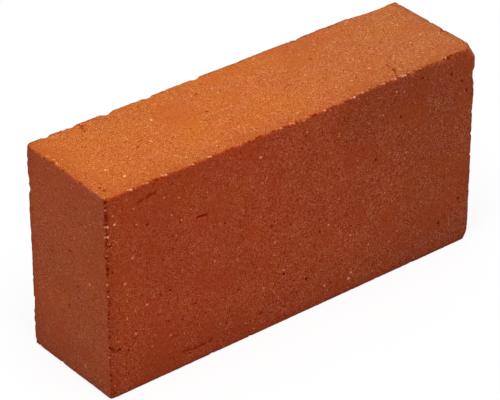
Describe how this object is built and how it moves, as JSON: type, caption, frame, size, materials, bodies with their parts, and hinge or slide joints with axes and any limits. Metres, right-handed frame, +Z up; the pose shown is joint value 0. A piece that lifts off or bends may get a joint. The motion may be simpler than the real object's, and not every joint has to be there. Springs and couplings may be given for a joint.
{
  "type": "clay brick",
  "caption": "Solid rectangular fired clay building brick with worn, slightly chipped edges and broken corners, standing on its long narrow side.",
  "frame": {"origin": "centre of the long narrow side that the brick stands on, at the middle of its length and thickness", "axes": "+X along the brick's length, +Y through its thickness from one bed face to the other, +Z up across its width"},
  "size_m": [0.248, 0.067, 0.122],
  "materials": {
    "fired_clay": "matte"
  },
  "bodies": {
    "root": {"brick": "fired_clay"}
  },
  "joints": []
}
